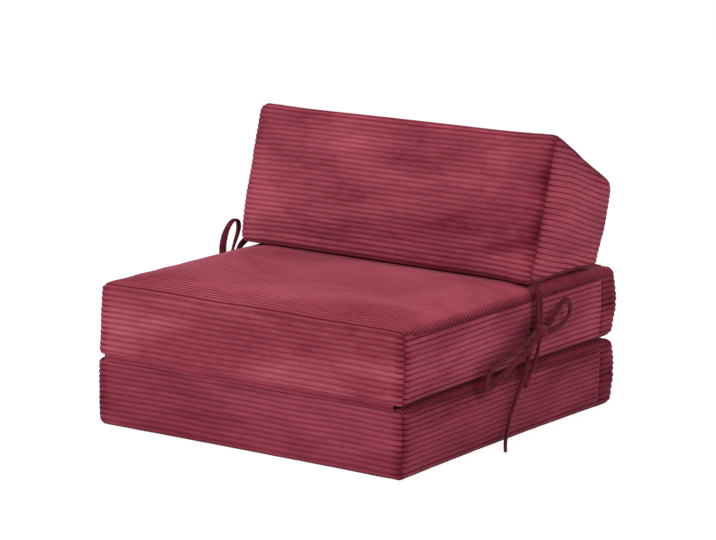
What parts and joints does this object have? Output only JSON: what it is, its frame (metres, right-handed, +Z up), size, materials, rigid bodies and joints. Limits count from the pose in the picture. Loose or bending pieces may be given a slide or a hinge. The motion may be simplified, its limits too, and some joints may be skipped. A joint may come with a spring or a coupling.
{
  "type": "chair bed",
  "caption": "Fold-out foam chair bed: seat block hinged to a lower block at the front, wedge back cushion hinged at the rear, zipped ribbed covers, a tied bow on each side.",
  "frame": {"origin": "on the floor under the middle of the folded chair, without its ties", "axes": "+Z up, -Y towards the front edge where the seat block hinges, +X to the right seen from the front"},
  "size_m": [0.789, 0.806, 0.5729],
  "materials": {
    "corduroy": "jumbo corduroy with a crushed pile",
    "hinge_cloth": "corduroy strip",
    "tie_cloth": "corduroy tie, turned tube",
    "zip_tape": "woven tape with a nylon coil",
    "zip_metal": "nickel plated",
    "foam": "cut polyurethane foam"
  },
  "bodies": {
    "lower_block": {"lower_foam_core": "foam", "lower_cover_wrap": "corduroy", "lower_cover_side_left": "corduroy", "lower_cover_side_right": "corduroy", "lower_cover_rear": "corduroy", "lower_zip_tape": "zip_tape", "front_hinge_band": "hinge_cloth"},
    "seat_block": {"seat_foam_core": "foam", "seat_cover_wrap": "corduroy", "seat_cover_side_left": "corduroy", "seat_cover_side_right": "corduroy", "seat_cover_rear": "corduroy", "seat_zip_tape": "zip_tape"},
    "back_cushion": {"back_foam_core": "foam", "back_cover_wrap": "corduroy", "back_cover_side_left": "corduroy", "back_cover_side_right": "corduroy", "back_cover_zip_panel": "corduroy", "back_zip_tape": "zip_tape", "rear_hinge_flap": "hinge_cloth", "tie_right_root_front": "tie_cloth", "tie_right_root_rear": "tie_cloth", "tie_right_knot": "tie_cloth", "tie_right_loop_front": "tie_cloth", "tie_right_loop_rear": "tie_cloth", "tie_right_tail_front": "tie_cloth", "tie_right_tail_rear": "tie_cloth", "tie_left_root_front": "tie_cloth", "tie_left_root_rear": "tie_cloth", "tie_left_knot": "tie_cloth", "tie_left_loop_front": "tie_cloth", "tie_left_loop_rear": "tie_cloth", "tie_left_tail_front": "tie_cloth", "tie_left_tail_rear": "tie_cloth"},
    "lower_slider": {"lower_zip_slider": "zip_metal"},
    "lower_pull": {"lower_zip_pull": "zip_metal"},
    "seat_slider": {"seat_zip_slider": "zip_metal"},
    "seat_pull": {"seat_zip_pull": "zip_metal"},
    "back_slider": {"back_zip_slider": "zip_metal"},
    "back_pull": {"back_zip_pull": "zip_metal"}
  },
  "joints": [
    {"name": "seat_fold", "type": "hinge", "parent": "lower_block", "child": "seat_block", "pos_m": [0, -0.4042, 0.14465], "axis": [1, 0, 0], "range_deg": [0, 180]},
    {"name": "back_fold", "type": "hinge", "parent": "seat_block", "child": "back_cushion", "pos_m": [0, 0.3868, 0.288], "axis": [-1, 0, 0], "range_deg": [0, 180]},
    {"name": "lower_zip_slide", "type": "slide", "parent": "lower_block", "child": "lower_slider", "axis": [1, 0, 0], "range_m": [0, 0.63]},
    {"name": "lower_pull_swing", "type": "hinge", "parent": "lower_slider", "child": "lower_pull", "pos_m": [-0.315, 0.3998, 0.066], "axis": [0, 0, 1], "range_deg": [0, 180]},
    {"name": "seat_zip_slide", "type": "slide", "parent": "seat_block", "child": "seat_slider", "axis": [1, 0, 0], "range_m": [0, 0.63]},
    {"name": "seat_pull_swing", "type": "hinge", "parent": "seat_slider", "child": "seat_pull", "pos_m": [-0.315, 0.3998, 0.20915], "axis": [0, 0, 1], "range_deg": [0, 180]},
    {"name": "back_zip_slide", "type": "slide", "parent": "back_cushion", "child": "back_slider", "axis": [1, 0, 0], "range_m": [0, 0.61]},
    {"name": "back_pull_swing", "type": "hinge", "parent": "back_slider", "child": "back_pull", "pos_m": [-0.305, 0.34365, 0.34174], "axis": [0, 0.2535, 0.9673], "range_deg": [0, 180]}
  ]
}
